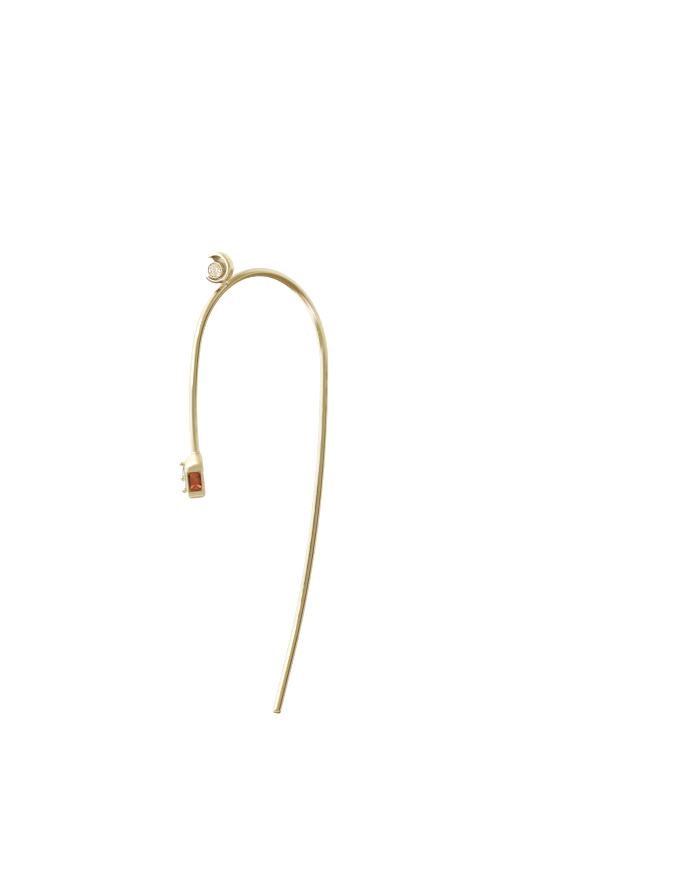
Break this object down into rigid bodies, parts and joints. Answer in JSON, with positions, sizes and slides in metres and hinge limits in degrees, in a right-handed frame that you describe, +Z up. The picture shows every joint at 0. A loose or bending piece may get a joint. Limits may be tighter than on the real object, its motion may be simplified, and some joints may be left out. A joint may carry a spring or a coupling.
{
  "type": "threader earring",
  "caption": "Threader earring: a round gold wire arched over the ear, with a plain curved tail, a round stone in a hooded cup and a small block set with an orange and an oval white stone.",
  "frame": {"origin": "underside of the wire at the arch's crown, where the earring rests in the ear piercing", "axes": "+Z up; the wire's arch lies in the XZ plane with the short arm and its stones at -X, in front of the lobe, and the tail at +X, behind it; the block's stones are turned towards -Y and +Y"},
  "size_m": [0.0221, 0.0034, 0.0461],
  "materials": {
    "gold": "polished yellow gold",
    "clear_stone": "polished brilliant cut",
    "orange_stone": "polished step cut",
    "white_stone": "polished oval brilliant cut"
  },
  "bodies": {
    "root": {"ear_wire": "gold", "top_stone": "clear_stone", "orange_stone": "orange_stone", "oval_stone": "white_stone"}
  },
  "joints": []
}
